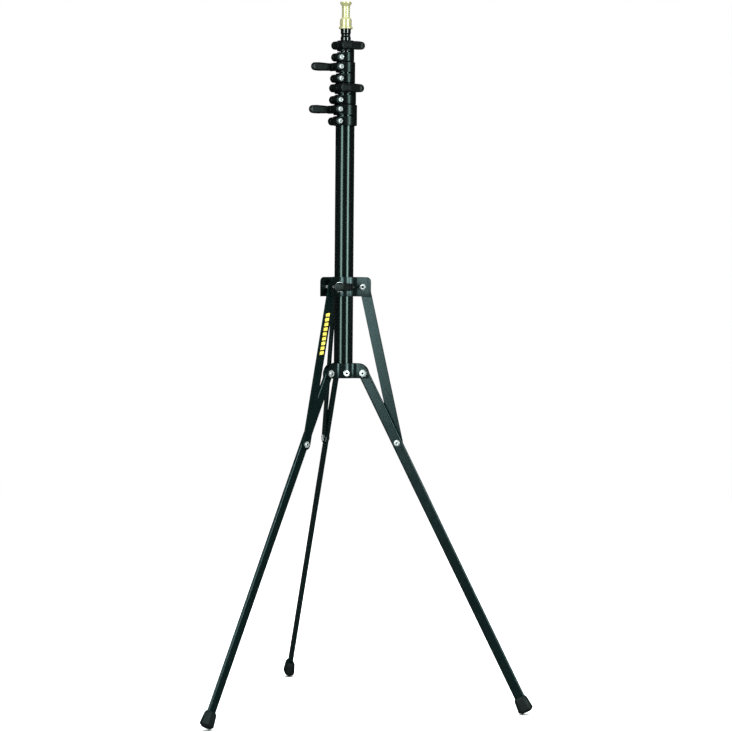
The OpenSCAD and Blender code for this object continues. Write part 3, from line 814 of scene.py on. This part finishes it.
# ---------------------------------------------------------------- studio
floor_mesh = bmesh.new()
FLOOR = 3.1
FLOOR_SIDES = 128
for k in range(FLOOR_SIDES):
    angle = 2 * math.pi * k / FLOOR_SIDES
    floor_mesh.verts.new((FLOOR * math.cos(angle), FLOOR * math.sin(angle), 0))
floor_mesh.faces.new(floor_mesh.verts)
floor = as_object("studio_floor", floor_mesh)
pale = bpy.data.materials.new("pale_floor")
pale.use_nodes = True
pale_inputs = pale.node_tree.nodes["Principled BSDF"].inputs
pale_inputs["Base Color"].default_value = (0.9, 0.9, 0.9, 1)
pale_inputs["Roughness"].default_value = 0.9
pale_inputs["Specular IOR Level"].default_value = 0.1
floor.data.materials.append(pale)
floor.visible_glossy = False

scene = bpy.context.scene
world = bpy.data.worlds.new("studio")
scene.world = world
world.use_nodes = True
nodes, links = world.node_tree.nodes, world.node_tree.links
nodes.clear()
output = nodes.new("ShaderNodeOutputWorld")
rays = nodes.new("ShaderNodeLightPath")
white = nodes.new("ShaderNodeBackground")
white.inputs["Color"].default_value = (1, 1, 1, 1)
white.inputs["Strength"].default_value = 1.0
dim = nodes.new("ShaderNodeBackground")
dim.inputs["Color"].default_value = (0.9, 1.0, 1.0, 1)
dim.inputs["Strength"].default_value = 0.035
choose = nodes.new("ShaderNodeMixShader")
links.new(rays.outputs["Is Camera Ray"], choose.inputs["Fac"])
links.new(dim.outputs["Background"], choose.inputs[1])
links.new(white.outputs["Background"], choose.inputs[2])
links.new(choose.outputs["Shader"], output.inputs["Surface"])


def soft_light(name, azimuth, distance, height, width, tall, power, colour):
    """Rectangular soft light facing the column."""
    light = bpy.data.lights.new(name, "AREA")
    light.shape = "RECTANGLE"
    light.size = width
    light.size_y = tall
    light.energy = power
    light.color = colour
    made = bpy.data.objects.new(name, light)
    scene.collection.objects.link(made)
    angle = math.radians(azimuth)
    made.location = (distance * math.cos(angle), distance * math.sin(angle), height)
    target = Vector((0, 0, height))
    made.rotation_euler = (target - made.location).to_track_quat("-Z", "Y").to_euler()
    made.visible_camera = False
    return made


STRIP_DISTANCE = 1.8
STRIP_HEIGHT = 0.95
STRIP_COLOUR = (0.84, 1.0, 0.96)
OVERHEAD_HEIGHT = 3.4
soft_light("left_strip", -124.5, STRIP_DISTANCE, STRIP_HEIGHT, 0.62, 1.3, 21, STRIP_COLOUR)
soft_light("right_strip", -47, STRIP_DISTANCE, STRIP_HEIGHT, 0.55, 1.3, 25, STRIP_COLOUR)
overhead = soft_light("overhead", -90, 0.4, OVERHEAD_HEIGHT, 4.0, 4.0, 420, (1, 1, 1))
overhead.location = (0, 0, OVERHEAD_HEIGHT)
overhead.rotation_euler = (0, 0, 0)
overhead.visible_glossy = False

camera_data = bpy.data.cameras.new("camera")
camera_data.sensor_width = 36
camera_data.lens = 127.4
camera_data.shift_x = 0.0312
camera_data.clip_start = 0.05
camera_data.clip_end = 50
camera = bpy.data.objects.new("camera", camera_data)
scene.collection.objects.link(camera)
PITCH = 0.0454
ROLL = 0.0078
CAMERA_PLACE = (0, -3.555, 0.632)
camera.matrix_world = (Matrix.Translation(CAMERA_PLACE)
                       @ Matrix.Rotation(math.pi / 2 - PITCH, 4, "X")
                       @ Matrix.Rotation(ROLL, 4, "Z"))
scene.camera = camera
scene.view_settings.view_transform = "Standard"

bpy.context.view_layer.update()
